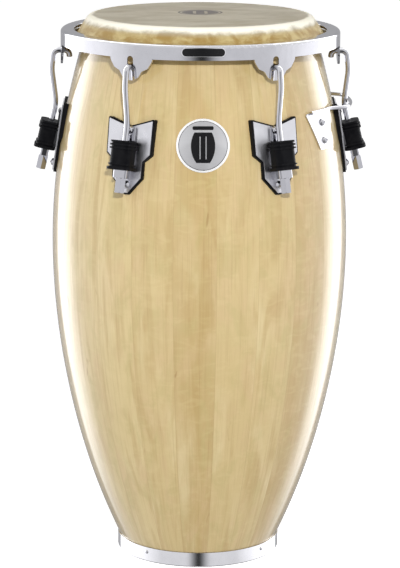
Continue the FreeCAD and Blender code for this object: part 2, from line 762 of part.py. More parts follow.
def handle_bar():
    """A round bar: along one plate, out and round the middle lug's rod, and along the other plate."""
    ride = barrel_radius(BAR_HEIGHT) + BAR_STANDOFF
    edges = [bar_arc(BAR_GRIP, -BAR_GRIP_ANGLE, BAR_GRIP_ANGLE)]
    for sign in (-1, 1):
        edges.append(bar_arc(ride, sign * BAR_END_ANGLE, sign * BAR_LEAVES_ANGLE))
        edges.append(bar_leg(sign))
    path = Part.Wire(Part.__sortEdges__(edges))
    start = bar_point(ride, -BAR_END_ANGLE)
    section = Part.Wire(Part.makeCircle(BAR_RADIUS, start, bar_direction(-BAR_END_ANGLE)))
    bar = path.makePipeShell([section], True, False)
    return around(bar, HANDLE_AZIMUTH - 90.0)


def handle_plate(azimuth, bar):
    """A V-shaped plate curved to the barrel, saddled to the bar along its top."""
    blank = prism(mirrored_outline(HANDLE_OUTLINE), -WALL, WALL, HANDLE_CORNER)
    for y in HANDLE_BOLT_HEIGHTS:
        blank = blank.cut(along_z(HANDLE_BOLT_RADIUS + HOLE_GAP, -WALL, WALL, 0, y))
    plate = conform(on_barrel(blank, HANDLE_HEIGHT, HANDLE_TILT), TOUCH, TOUCH + HANDLE_PLATE)
    return around(plate, azimuth).cut(bar)


def group(kind, make):
    """One solid at every bolt of a kind."""
    return Part.makeCompound([at_site(make(site), site) for site in bolt_sites() if site["kind"] == kind])


def save(name, shape):
    shape.exportStep("parts/" + name + ".step")
    solids = shape.Solids
    print(name, len(solids), "solids", round(sum(solid.Volume for solid in solids)), "mm3",
          "valid" if shape.isValid() else "NOT VALID")


def main():
    os.makedirs("parts", exist_ok=True)
    save("shell_staves", shell_staves())
    save("base_ring", base_ring())
    save("base_ring_screws", base_ring_screws())
    save("head_skin", head_skin())
    save("flesh_hoop", flesh_hoop())
    save("rim", rim())
    save("rim_nameplate", rim_nameplate())
    save("nameplate_panel", nameplate_panel())
    save("badge_disc", badge_disc())
    save("badge_emblem", badge_emblem())
    bar = handle_bar()
    save("handle_bar", bar)
    for name, azimuth in zip(["handle_plate_front", "handle_plate_rear"], handle_azimuths()):
        save(name, handle_plate(azimuth, bar))
    bracket = lug_bracket()
    pieces = {
        "lug_gasket": lug_gasket(),
        "lug_plate": lug_plate(),
        "lug_bracket": bracket,
        "rubber_boot": rubber_boot(bracket),
        "tuning_hook": tuning_hook(),
        "tuning_nut": tuning_nut(),
    }
    for name, piece in pieces.items():
        for k, azimuth in enumerate(lug_azimuths()):
            save(name + "_" + str(k + 1), around(piece, azimuth))
    for kind in ("lug", "handle"):
        save(kind + "_bolts", group(kind, lambda site: wall_bolt(site["radius"], site["seat"])))
        save(kind + "_washers", group(kind, lambda site: wall_washer(site["radius"])))
        save(kind + "_nuts", group(kind, lambda site: wall_nut(site["radius"])))


main()
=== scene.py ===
import bmesh
import bpy
import json
import math
import numpy as np
from mathutils import Matrix, Vector

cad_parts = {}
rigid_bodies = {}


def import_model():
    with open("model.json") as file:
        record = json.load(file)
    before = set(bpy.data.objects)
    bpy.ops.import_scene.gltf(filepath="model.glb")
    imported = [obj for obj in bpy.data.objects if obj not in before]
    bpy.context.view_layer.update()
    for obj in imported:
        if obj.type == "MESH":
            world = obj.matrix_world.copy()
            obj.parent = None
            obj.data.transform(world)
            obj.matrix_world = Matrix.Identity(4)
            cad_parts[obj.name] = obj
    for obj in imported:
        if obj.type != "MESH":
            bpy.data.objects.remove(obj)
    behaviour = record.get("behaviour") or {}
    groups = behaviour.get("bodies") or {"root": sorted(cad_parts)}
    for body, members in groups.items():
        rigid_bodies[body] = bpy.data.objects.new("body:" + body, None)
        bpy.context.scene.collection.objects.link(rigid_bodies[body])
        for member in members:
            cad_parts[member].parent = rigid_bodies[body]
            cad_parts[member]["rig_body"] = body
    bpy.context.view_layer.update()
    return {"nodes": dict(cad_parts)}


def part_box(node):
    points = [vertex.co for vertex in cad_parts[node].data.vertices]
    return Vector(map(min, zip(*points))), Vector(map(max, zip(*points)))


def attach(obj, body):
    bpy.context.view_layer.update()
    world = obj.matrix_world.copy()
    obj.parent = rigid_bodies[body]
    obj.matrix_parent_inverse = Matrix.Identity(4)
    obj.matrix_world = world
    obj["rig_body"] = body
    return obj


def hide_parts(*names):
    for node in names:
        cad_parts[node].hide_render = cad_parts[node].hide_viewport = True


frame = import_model()

MM = 0.001
WHITE = (1.0, 1.0, 1.0, 1.0)

# Barrel
STAVES = 22
FIRST_SEAM = math.radians(5.3)
STEPS_PER_STAVE = 12
OUTER_ROWS = 150
INNER_ROWS = 50
PROFILE_DEGREE = 9
# The top edge: how far down its rounding starts, its rows, the first row's share of the quarter turn, its
# flat crest, and where the inner wall begins.
EDGE_DEPTH = 4.4 * MM
EDGE_ROWS = 8
EDGE_FIRST = 0.12
CREST_FLAT = 1.5 * MM
INNER_TOP = 6.0 * MM
# A CAD face lies on a wall if it faces this much outwards or inwards, clear of the top edge and the ring.
WALL_FACING = 0.8
TOP_MARGIN = 8 * MM
RING_MARGIN = 2 * MM
# How near the foot and the crest a CAD point counts as on them.
AT_FOOT = 0.5 * MM
AT_CREST = 0.2 * MM
# How dark each stave is, from 0 to 1, starting at the first seam and going towards +X.
STAVE_TONES = [0.42, 0.40, 0.86, 0.55, 0.30, 0.62, 0.45, 0.75, 0.35, 0.50, 0.28,
               0.66, 0.40, 0.58, 0.33, 0.70, 0.45, 0.30, 0.24, 0.20, 0.40, 0.72]
# How far each stave's grain is shifted from its neighbour's, across and along, so that no two staves match.
GRAIN_SHIFT = (0.37, 1.9)
GLUE_WIDTH = 0.6 * MM

# Head. The pale ring on the skin starts about CREST_RADIUS, and the yellow collar is full at COLLAR_BOTTOM.
TURNED_STEPS = 288
CREST_RADIUS = 0.1495
COLLAR_TOP = 0.7600
COLLAR_BOTTOM = 0.7500
# The stamp on the skin. Where its ring lies, and how far its bars reach, are shares of its radius.
STAMP_Y = 0.022
STAMP_RADIUS = 0.0315
STAMP_RING = (0.82, 0.90)
STAMP_BARS = 0.52
BAR_SPACING = 0.008
BAR_HALF_WIDTH = 0.0022
STAMP_BLUR = 0.4 * MM

# Badge: its border's width, and how far inside the border its painted shadow line begins and is full.
BADGE_BORDER = 3.0 * MM
BADGE_SHADOW_LINE = (0.9 * MM, 0.7 * MM)

# Meshes: points closer than SAME_POINT are one point, and those within ON_PLANE of a plane lie on it.
SAME_POINT = 0.02 * MM
ON_PLANE = 0.005 * MM
FLAT_ANGLE = math.radians(0.6)
EDGE_ANGLE = math.radians(32.0)
EDGE_SEGMENTS = 2

# How each CAD shape is finished: how far its edges are rounded over, in mm, and its material.
FINISHES = {
    "base_ring": (0.4, "bright_chrome"),
    "base_ring_screws": (0.15, "chrome"),
    "flesh_hoop": (0.0, "zinc_steel"),
    "rim": (0.5, "chrome"),
    "rim_nameplate": (0.25, "bright_chrome"),
    "nameplate_panel": (0.1, "black_enamel"),
    "badge_disc": (0.2, "brushed_metal"),
    "badge_emblem": (0.1, "black_enamel"),
    "handle_bar": (0.4, "chrome"),
    "handle_plate_front": (0.35, "satin_chrome"),
    "handle_plate_rear": (0.35, "satin_chrome"),
    "lug_bolts": (0.15, "chrome"),
    "lug_washers": (0.2, "zinc_steel"),
    "lug_nuts": (0.2, "zinc_steel"),
    "handle_bolts": (0.15, "chrome"),
    "handle_washers": (0.2, "zinc_steel"),
    "handle_nuts": (0.2, "zinc_steel"),
}
LUGS = 6
LUG_FINISHES = {
    "lug_gasket": (0.6, "black_rubber"),
    "lug_plate": (0.35, "satin_chrome"),
    "lug_bracket": (0.4, "shaded_chrome"),
    "rubber_boot": (0.5, "black_rubber"),
    "tuning_hook": (0.0, "chrome"),
    "tuning_nut": (0.2, "shaded_chrome"),
}
# Plated finishes: tint and roughness.
CHROMES = {
    "chrome": ((0.67, 0.67, 0.70), 0.05),
    # A darker copy of the chrome for the brackets and nuts under the boots: painted shade that darkens their
    # reflections.
    "shaded_chrome": ((0.56, 0.56, 0.59), 0.05),
    "bright_chrome": ((0.86, 0.86, 0.88), 0.06),
    "satin_chrome": ((0.84, 0.84, 0.87), 0.26),
}

# Studio. A direction is given as an azimuth in degrees from the front, and a rise, which is -1 straight
# down, 0 level and 1 straight up.
FLOOR_SIZE = 30.0
FLOOR_GLOW = 0.68
# The even light that falls on everything, from above and from below, and the rises between which it changes.
SKY_LIGHT = 0.36
FLOOR_LIGHT = 0.92
HORIZON = (-0.15, 0.15)
# What polished metal and lacquer reflect at each azimuth, as (azimuth, level), and what they see overhead.
ROOM = [(-180, 0.42), (-152, 0.46), (-120, 1.60), (-90, 1.25), (-55, 0.80), (0, 0.78),
        (55, 0.80), (90, 1.25), (120, 1.60), (152, 0.46), (180, 0.42)]
ROOM_BLUE = 1.03
CEILING_RISE = (0.25, 0.70)
CEILING_LEVEL = 0.95
# The room is darker low down: the rise where it is darkest, where it is full, and the darkest share.
LOW_DIMMING = (-0.60, -0.28, 0.50)
# A dark patch in front: its half width in degrees where it is full and where it ends, and its level.
FRONT_PATCH = (0.0, 19.0, 0.04)
FRONT_PATCH_TOP = (0.28, 0.44)
# Tall soft boxes on both sides: where each starts, is full, is still full, and ends, in degrees of azimuth,
# and the rises between which they grow from nothing to full.
SOFT_BOXES = [(-151.0, -143.0, -132.0, -111.0), (111.0, 130.0, 140.0, 150.0)]
SOFT_BOX_LEVEL = 3.3
SOFT_BOX_FOOT = (-0.74, -0.18)
# Lamps: azimuth in degrees from the front, distance, height, (width, depth), watts, and the height aimed at.
LAMPS = {
    "key": (2.5, 3.7, 1.95, (0.14, 0.14), 108.0, 0.50),
    "left_fill": (-85.0, 2.4, 1.3, (1.2, 1.6), 11.0, 0.42),
    "right_fill": (85.0, 2.4, 1.3, (1.2, 1.6), 9.0, 0.42),
    "overhead": (0.0, 0.3, 2.8, (1.4, 1.4), 10.0, 0.70),
}

# Camera
CAMERA_DISTANCE = 3.716
CAMERA_HEIGHT = 1.2
CAMERA_PITCH = math.radians(12.42)
CAMERA_AZIMUTH = math.radians(-1.27)
CAMERA_AIM = math.radians(0.019)
CAMERA_ROLL = math.radians(0.31)
CAMERA_REACH = 100.0
SENSOR = 36.0
FOCAL_LENGTH = 170.5


# ---------------------------------------------------------------- node helpers

class Nodes:
    """Short calls for building one material or world node tree."""

    def __init__(self, tree):
        self.tree = tree
        tree.nodes.clear()

    def add(self, kind, inputs=None, **settings):
        node = self.tree.nodes.new(kind)
        for name, value in settings.items():
            setattr(node, name, value)
        for name, value in (inputs or {}).items():
            self.feed(node.inputs[name], value)
        return node

    def feed(self, socket, value):
        if isinstance(value, bpy.types.NodeSocket):
            self.tree.links.new(value, socket)
        else:
            socket.default_value = value

    def place(self):
        """Where a point lies on the drum, in metres."""
        return self.add("ShaderNodeTexCoord").outputs["Object"]

    def math(self, operation, *values):
        node = self.add("ShaderNodeMath", operation=operation)
        for socket, value in zip(node.inputs, values):
            self.feed(socket, value)
        return node.outputs[0]

    def mix(self, factor, a, b, blend="MIX"):
        """Mixes two colours, which are the Mix node's sockets 6 and 7."""
        node = self.add("ShaderNodeMix", data_type="RGBA", blend_type=blend)
        self.feed(node.inputs[0], factor)
        self.feed(node.inputs[6], a)
        self.feed(node.inputs[7], b)
        return node.outputs[2]

    def scaled(self, vector, scale, offset=(0.0, 0.0, 0.0)):
        node = self.add("ShaderNodeMapping", {"Scale": scale, "Location": offset})
        self.feed(node.inputs["Vector"], vector)
        return node.outputs[0]

    def noise(self, vector, scale, detail, rough=0.5, distortion=0.0, offset=(0.0, 0.0, 0.0)):
        """Noise with its own scale along each axis, in cycles per metre."""
        inputs = {"Scale": 1.0, "Detail": detail, "Roughness": rough, "Distortion": distortion}
        node = self.add("ShaderNodeTexNoise", inputs)
        self.feed(node.inputs["Vector"], self.scaled(vector, scale, offset))
        return node.outputs["Fac"]

    def span(self, value, low, high, out_low=0.0, out_high=1.0, smooth=False):
        node = self.add("ShaderNodeMapRange", interpolation_type="SMOOTHSTEP" if smooth else "LINEAR")
        for socket, amount in zip(node.inputs, (value, low, high, out_low, out_high)):
            self.feed(socket, amount)
        return node.outputs[0]

    def ease(self, value, low, high, out_low=0.0, out_high=1.0):
        return self.span(value, low, high, out_low, out_high, smooth=True)

    def length(self, vector):
        return self.add("ShaderNodeVectorMath", {0: vector}, operation="LENGTH").outputs["Value"]

    def bump(self, height, strength, distance):
        node = self.add("ShaderNodeBump", {"Strength": strength, "Distance": distance})
        self.feed(node.inputs["Height"], height)
        return node.outputs[0]

    def xyz(self, vector):
        node = self.add("ShaderNodeSeparateXYZ")
        self.feed(node.inputs[0], vector)
        return node.outputs

    def surface(self, inputs):
        """Ends a material's tree with one surface shader."""
        shader = self.add("ShaderNodeBsdfPrincipled", inputs)
        self.add("ShaderNodeOutputMaterial", {"Surface": shader.outputs[0]})


def material(name):
    made = bpy.data.materials.new(name)
    made.use_nodes = True
    return made, Nodes(made.node_tree)


def rgb(red, green, blue):
    return (red, green, blue, 1.0)


def grey(level):
    return rgb(level, level, level)


# ---------------------------------------------------------------- materials

def wood_colour(n, plank, grain, fibre, clouds):
    """Tone from stave to stave, clouds of other tones, figure, grain, specks, and the glue lines."""
    tone = n.add("ShaderNodeAttribute", attribute_name="tone").outputs["Fac"]
    figure = n.noise(plank, (38.0, 4.2, 0.0), 3.0, 0.55, 1.6)
    olive_clouds = n.noise(plank, (30.0, 16.0, 0.0), 3.0, 0.6, 0.9, (3.0, 5.0, 0.0))
    pale_clouds = n.noise(plank, (20.0, 7.0, 0.0), 4.0, 0.6, 0.3, (7.0, 1.0, 0.0))
    shimmer = n.noise(plank, (30.0, 80.0, 0.0), 2.0, 0.5, 1.2)
    knots = n.noise(plank, (48.0, 15.0, 0.0), 2.0, 0.6, 0.9)
    light = rgb(0.640, 0.515, 0.262)
    dark = rgb(0.450, 0.312, 0.125)
    pink = rgb(0.570, 0.412, 0.215)
    pale = rgb(0.700, 0.585, 0.340)
    olive = rgb(0.470, 0.380, 0.160)
    brown = rgb(0.330, 0.200, 0.070)
    # Each layer: the pattern, where it starts and is full, how strong it gets, and its colour.
    layers = [
        (clouds, 0.42, 0.68, 0.60, pink),
        (olive_clouds, 0.43, 0.70, 0.55, olive),
        (pale_clouds, 0.48, 0.78, 0.50, pale),
        (figure, 0.46, 0.70, 0.60, dark),
        (shimmer, 0.48, 0.72, 0.22, light),
        (grain, 0.48, 0.76, 0.32, brown),
        (fibre, 0.55, 0.80, 0.18, brown),
        (knots, 0.69, 0.78, 0.60, brown),
    ]
    base = n.mix(tone, light, dark)
    for pattern, start, full, strength, colour in layers:
        base = n.mix(n.ease(pattern, start, full, 0.0, strength), base, colour)
    seam_distance = n.xyz(plank)[2]
    return n.mix(n.ease(seam_distance, 0.0, GLUE_WIDTH, 0.34, 0.0), base, brown)


def make_wood():
    """Maple staves under a clear lacquer."""
    made, n = material("lacquered_maple")
    plank = n.add("ShaderNodeAttribute", attribute_name="plank").outputs["Vector"]
    grain = n.noise(plank, (420.0, 7.0, 0.0), 5.0, 0.62, 0.25)
    fibre = n.noise(plank, (1500.0, 26.0, 0.0), 2.0)
    clouds = n.noise(plank, (24.0, 11.0, 0.0), 3.0, 0.55, 1.0)
    ripple = n.noise(plank, (14.0, 9.0, 0.0), 2.0)
    height = n.math("ADD", n.math("MULTIPLY", grain, 0.6), n.math("MULTIPLY", fibre, 0.4))
    n.surface({
        "Base Color": wood_colour(n, plank, grain, fibre, clouds),
        "Roughness": n.span(grain, 0.3, 0.8, 0.36, 0.52),
        "Specular IOR Level": 0.35,
        "Coat Weight": 1.0,
        "Coat Roughness": n.span(clouds, 0.3, 0.7, 0.045, 0.075),
        "Coat IOR": 1.52,
        "Normal": n.bump(height, 0.10, 0.0003),
        "Coat Normal": n.bump(ripple, 0.035, 0.003),
    })
    return made


def make_chrome(name, tint, rough):
    """Plated steel: faint polishing haze, hair scratches and a trace of waviness."""
    made, n = material(name)
    place = n.place()
    haze = n.noise(place, (60.0, 60.0, 60.0), 4.0, 0.6)
    scratch = n.noise(place, (900.0, 900.0, 70.0), 3.0, 0.7, 0.4)
    wave = n.noise(place, (45.0, 45.0, 45.0), 2.0)
    relief = n.math("ADD", n.math("MULTIPLY", scratch, 0.08), wave)
    n.surface({
        "Base Color": n.mix(n.span(haze, 0.3, 0.7), rgb(*tint), rgb(*(0.94 * c for c in tint))),
        "Metallic": 1.0,
        "Roughness": n.span(haze, 0.35, 0.75, rough, rough * 1.9),
        "Normal": n.bump(relief, 0.05, 0.0004),
    })
    return made


def make_steel():
    """Zinc-plated washers and nuts inside the drum."""
    made, n = material("zinc_steel")
    mottle = n.noise(n.place(), (400.0, 400.0, 400.0), 4.0, 0.6)
    n.surface({
        "Base Color": n.mix(mottle, rgb(0.46, 0.46, 0.45), rgb(0.60, 0.60, 0.61)),
        "Metallic": 1.0,
        "Roughness": n.span(mottle, 0.3, 0.7, 0.28, 0.45),
        "Normal": n.bump(mottle, 0.15, 0.0001),
    })
    return made


def make_rubber():
    """Moulded black rubber, a little dusty, with a painted highlight along its sharp edges."""
    made, n = material("black_rubber")
    place = n.place()
    dust = n.noise(place, (90.0, 90.0, 90.0), 5.0, 0.65)
    pores = n.noise(place, (1600.0, 1600.0, 1600.0), 2.0)
    edges = n.add("ShaderNodeNewGeometry").outputs["Pointiness"]
    # Sharp edges and fin tips are lightened: a painted highlight standing in for light catching the edges.
    painted_edge_highlight = n.ease(edges, 0.52, 0.62, 0.0, 0.6)
    base = n.mix(n.span(dust, 0.45, 0.75), rgb(0.002, 0.002, 0.003), rgb(0.007, 0.007, 0.008))
    n.surface({
        "Base Color": n.mix(painted_edge_highlight, base, rgb(0.030, 0.030, 0.032)),
        "Roughness": n.span(dust, 0.3, 0.7, 0.42, 0.60),
        "Specular IOR Level": 0.12,
        "Normal": n.bump(pores, 0.12, 0.0002),
    })
    return made


def make_enamel():
    """Baked black enamel with a slight orange peel: the nameplate's panel and the badge's figure."""
    made, n = material("black_enamel")
    peel = n.noise(n.place(), (700.0, 700.0, 700.0), 2.0)
    n.surface({
        "Base Color": n.mix(peel, rgb(0.006, 0.006, 0.007), rgb(0.012, 0.012, 0.013)),
        "Roughness": n.span(peel, 0.3, 0.7, 0.18, 0.28),
        "Specular IOR Level": 0.25,
        "Normal": n.bump(peel, 0.06, 0.0002),
    })
    return made


def make_brushed():
    """The badge: a face brushed across in fine lines, a dark painted shadow line just inside the border, and
    a bright polished border.
    """
    made, n = material("brushed_metal")
    place = n.place()
    lines = n.noise(place, (30.0, 30.0, 4200.0), 3.0, 0.6)
    haze = n.noise(place, (35.0, 35.0, 35.0), 3.0)
    low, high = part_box("badge_disc")
    middle = (low.z + high.z) / 2
    radius = (high.x - low.x) / 2
    # The disc leans with the barrel, so its height is stretched to make it round again.
    squash = radius / ((high.z - low.z) / 2)
    from_middle = n.length(n.scaled(place, (1.0, 0.0, squash), (0.0, 0.0, -middle * squash)))
    face_radius = radius - BADGE_BORDER
    shadow_line_start, shadow_line_full = (face_radius - depth for depth in BADGE_SHADOW_LINE)
    border = n.span(from_middle, face_radius, face_radius + 0.1 * MM)
    # A dark band just inside the raised border: painted shadow where the face meets the border.
    in_shadow_line = n.span(from_middle, shadow_line_start, shadow_line_full)
    painted_shadow_line = n.math("MULTIPLY", in_shadow_line, n.math("SUBTRACT", 1.0, border))
    face = n.mix(lines, rgb(0.86, 0.86, 0.87), rgb(0.98, 0.98, 0.98))
    face = n.mix(painted_shadow_line, face, rgb(0.22, 0.22, 0.23))
    n.surface({
        "Base Color": n.mix(border, face, rgb(0.97, 0.97, 0.97)),
        "Metallic": n.span(border, 0.0, 1.0, 1.0, 0.4),
        "Roughness": n.math("ADD", n.span(haze, 0.3, 0.7, 0.30, 0.42), n.math("MULTIPLY", border, -0.1)),
        "Anisotropic": 0.5,
        "Normal": n.bump(lines, 0.10, 0.0001),
    })
    return made


def stamp_ink(n, place, x):
    """How much ink lies at a point of the stamp: a disc, with a ring and two bars left unprinted."""
    from_stamp = n.length(n.scaled(place, (1.0, 1.0, 0.0), (0.0, -STAMP_Y, 0.0)))
    ring_inner, ring_outer = (STAMP_RADIUS * share for share in STAMP_RING)
    bars_end = STAMP_RADIUS * STAMP_BARS
    disc = n.span(from_stamp, STAMP_RADIUS - 0.6 * MM, STAMP_RADIUS, 1.0, 0.0)
    past_inner = n.span(from_stamp, ring_inner - STAMP_BLUR, ring_inner)
    before_outer = n.span(from_stamp, ring_outer, ring_outer + STAMP_BLUR, 1.0, 0.0)
    bars = n.math("COMPARE", n.math("ABSOLUTE", x), BAR_SPACING, BAR_HALF_WIDTH)
    among_bars = n.span(from_stamp, bars_end, bars_end + STAMP_BLUR, 1.0, 0.0)
    ring = n.math("MULTIPLY", past_inner, before_outer)
    unprinted = n.math("MAXIMUM", ring, n.math("MULTIPLY", bars, among_bars))
    return n.math("MULTIPLY", disc, n.math("SUBTRACT", 1.0, n.math("MULTIPLY", unprinted, 0.75)))


def make_hide():
    """Buffalo hide: mottled grey-beige top, pale ring at the bearing edge, yellow collar, round stamp."""
    made, n = material("hide")
    place = n.place()
    x, _, z = n.xyz(place)
    mottle = n.noise(place, (13.0, 20.0, 13.0), 5.0, 0.62, 0.7)
    blotch = n.noise(place, (38.0, 38.0, 60.0), 4.0, 0.6, 0.4)
    pores = n.noise(place, (900.0, 900.0, 900.0), 3.0, 0.6)
    streak = n.noise(place, (24.0, 90.0, 24.0), 4.0, 0.6, 1.2)
    top = n.mix(n.ease(mottle, 0.35, 0.68), rgb(0.440, 0.400, 0.310), rgb(0.355, 0.312, 0.230))
    top = n.mix(n.ease(streak, 0.52, 0.75, 0.0, 0.45), top, rgb(0.25, 0.21, 0.15))
    collar = n.mix(n.ease(blotch, 0.35, 0.62), rgb(0.500, 0.400, 0.190), rgb(0.320, 0.210, 0.062))
    skin = n.mix(n.ease(z, COLLAR_TOP, COLLAR_BOTTOM), top, collar)

    wobble = n.math("MULTIPLY", n.math("SUBTRACT", blotch, 0.5), 8 * MM)
    radius = n.math("ADD", n.length(n.scaled(place, (1.0, 1.0, 0.0))), wobble)
    inner_edge = n.ease(radius, CREST_RADIUS - 4 * MM, CREST_RADIUS + 2 * MM)
    outer_edge = n.ease(radius, CREST_RADIUS + 7 * MM, CREST_RADIUS + 12 * MM, 1.0, 0.0)
    band = n.math("MULTIPLY", n.math("MULTIPLY", inner_edge, outer_edge), 0.95)
    skin = n.mix(band, skin, rgb(0.930, 0.890, 0.760))
    skin = n.mix(n.ease(pores, 0.60, 0.80, 0.0, 0.30), skin, rgb(0.30, 0.24, 0.15))
    ink = n.math("MULTIPLY", stamp_ink(n, place, x), n.span(blotch, 0.3, 0.7, 0.95, 0.72))
    skin = n.mix(ink, skin, rgb(0.060, 0.050, 0.054))

    height = n.math("ADD", n.math("MULTIPLY", pores, 0.5), n.math("MULTIPLY", blotch, 1.5))
    n.surface({
        "Base Color": skin,
        "Roughness": n.span(mottle, 0.3, 0.7, 0.46, 0.62),
        "Specular IOR Level": 0.4,
        "Subsurface Weight": 0.08,
        "Subsurface Radius": (0.006, 0.004, 0.002),
        "Subsurface Scale": 0.3,
        "Normal": n.bump(height, 0.25, 0.0006),
    })
    return made


def make_floor_material():
    """White paper sweep, lit a little from within so that it stays white to the horizon."""
    made, n = material("pale_floor")
    tone = n.noise(n.place(), (3.0, 3.0, 3.0), 2.0)
    n.surface({
        "Base Color": n.mix(tone, grey(0.90), grey(0.93)),
        "Roughness": 0.9,
        "Specular IOR Level": 0.0,
        "Emission Color": WHITE,
        "Emission Strength": FLOOR_GLOW,
    })
    return made


# ---------------------------------------------------------------- mesh helpers

def link(name, data):
    made = bpy.data.objects.new(name, data)
    bpy.context.scene.collection.objects.link(made)
    return made


def lathe(name, profile, steps, start=0.0):
    """A closed turned mesh: a closed (radius, height) profile carried round the Z axis."""
    rows = len(profile)
    angles = [start + 2 * math.pi * k / steps for k in range(steps)]
    points = [(r * math.sin(a), -r * math.cos(a), z) for a in angles for r, z in profile]
    faces = []
    for k in range(steps):
        here = k * rows
        there = (k + 1) % steps * rows
        for j in range(rows):
            up = (j + 1) % rows
            faces.append((here + j, there + j, there + up, here + up))
    mesh = bpy.data.meshes.new(name)
    mesh.from_pydata(points, [], faces)
    shape = bmesh.new()
    shape.from_mesh(mesh)
    bmesh.ops.remove_doubles(shape, verts=shape.verts, dist=0.01 * MM)
    bmesh.ops.recalc_face_normals(shape, faces=shape.faces)
    shape.to_mesh(mesh)
    shape.free()
    return link(name, mesh)


def smooth(piece, angle):
    piece.data.shade_smooth()
    piece.data.set_sharp_from_angle(angle=math.radians(angle))


def cad_arrays(node):
    """Vertex positions, and each face's centre and normal, of a CAD node."""
    mesh = frame["nodes"][node].data
    points = np.array([v.co[:] for v in mesh.vertices])
    centres = np.array([f.center[:] for f in mesh.polygons])
    normals = np.array([f.normal[:] for f in mesh.polygons])
    return points, centres, normals


def polish(node, rounding, look):
    """A finished copy of a CAD node: the same shape with its sharp edges rounded over."""
    source = frame["nodes"][node]
    piece = link(node + "_finished", source.data.copy())
    shape = bmesh.new()
    shape.from_mesh(piece.data)
    bmesh.ops.remove_doubles(shape, verts=shape.verts, dist=SAME_POINT)
    bmesh.ops.dissolve_limit(shape, angle_limit=FLAT_ANGLE, verts=shape.verts, edges=shape.edges)
    shape.to_mesh(piece.data)
    shape.free()
    piece.data.materials.clear()
    piece.data.materials.append(look)
    piece.data.shade_smooth()
    if rounding > 0:
        edge = piece.modifiers.new("edges", "BEVEL")
        edge.width = rounding * MM
        edge.segments = EDGE_SEGMENTS
        edge.limit_method = "ANGLE"
        edge.angle_limit = EDGE_ANGLE
        edge.harden_normals = False
        weigh = piece.modifiers.new("normals", "WEIGHTED_NORMAL")
        weigh.keep_sharp = True
    else:
        piece.data.set_sharp_from_angle(angle=EDGE_ANGLE)
    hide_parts(node)
    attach(piece, source["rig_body"])


# ---------------------------------------------------------------- barrel

def fitted_wall(on_wall):
    """A smooth curve through the shell's wall, given which CAD faces lie on it, and its lowest height."""
    mesh = frame["nodes"]["shell_staves"].data
    chosen = {v for f in np.flatnonzero(on_wall) for v in mesh.polygons[int(f)].vertices}
    spots = [mesh.vertices[v].co for v in sorted(chosen)]
    radii = [math.hypot(spot.x, spot.y) for spot in spots]
    heights = [spot.z for spot in spots]
    return np.polynomial.Chebyshev.fit(heights, radii, PROFILE_DEGREE), min(heights)


def barrel_profile():
    """The shell's closed section, read from the CAD staves and smoothed."""
    points, centres, normals = cad_arrays("shell_staves")
    radius = np.hypot(points[:, 0], points[:, 1])
    low = points[:, 2].min()
    high = points[:, 2].max()
    ring_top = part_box("base_ring")[1].z
    reach = np.hypot(centres[:, 0], centres[:, 1])
    outward = (normals[:, 0] * centres[:, 0] + normals[:, 1] * centres[:, 1]) / reach
    below_edge = centres[:, 2] < high - TOP_MARGIN
    above_ring = centres[:, 2] > ring_top + RING_MARGIN
    outer, bottom = fitted_wall((outward > WALL_FACING) & below_edge & above_ring)
    inner, _ = fitted_wall((outward < -WALL_FACING) & below_edge)
    seat = radius[points[:, 2] < low + AT_FOOT].max()
    crest = radius[points[:, 2] > high - AT_CREST].mean()
    shoulder = high - EDGE_DEPTH
    section = [(seat, low), (seat, bottom)]
    section += [(float(outer(z)), float(z)) for z in np.linspace(bottom, shoulder, OUTER_ROWS)]
    edge_width = section[-1][0] - crest
    for turn in np.linspace(EDGE_FIRST, 1.0, EDGE_ROWS):
        angle = turn * math.pi / 2
        section.append((crest + edge_width * math.cos(angle), shoulder + EDGE_DEPTH * math.sin(angle)))
    section.append((crest - CREST_FLAT, high))
    section += [(float(inner(z)), float(z)) for z in np.linspace(high - INNER_TOP, low, INNER_ROWS)]
    return section


def add_planks(piece):
    """Stores, at each face corner, where it lies on its stave and how dark that stave is."""
    mesh = piece.data
    width = 2 * math.pi / STAVES
    belly = max(math.hypot(v.co.x, v.co.y) for v in mesh.vertices)
    shift_across, shift_along = GRAIN_SHIFT
    spots = []
    tones = []
    for face in mesh.polygons:
        middle = math.atan2(face.center.x, -face.center.y)
        stave = int(((middle - FIRST_SEAM) % (2 * math.pi)) / width)
        seam = FIRST_SEAM + stave * width
        for corner in face.loop_indices:
            spot = mesh.vertices[mesh.loops[corner].vertex_index].co
            turn = (math.atan2(spot.x, -spot.y) - seam + math.pi) % (2 * math.pi) - math.pi
            local = min(max(turn, 0.0), width)
            seam_distance = min(local, width - local) * math.hypot(spot.x, spot.y)
            spots += [local * belly + stave * shift_across, spot.z + stave * shift_along, seam_distance]
            tones.append(STAVE_TONES[stave])
    mesh.attributes.new("plank", "FLOAT_VECTOR", "CORNER").data.foreach_set("vector", spots)
    mesh.attributes.new("tone", "FLOAT", "CORNER").data.foreach_set("value", tones)


def build_barrel(look):
    piece = lathe("barrel_staves", barrel_profile(), STAVES * STEPS_PER_STAVE, FIRST_SEAM)
    smooth(piece, 30.0)
    add_planks(piece)
    piece.data.materials.append(look)
    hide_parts("shell_staves")
    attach(piece, "shell")


# ---------------------------------------------------------------- head

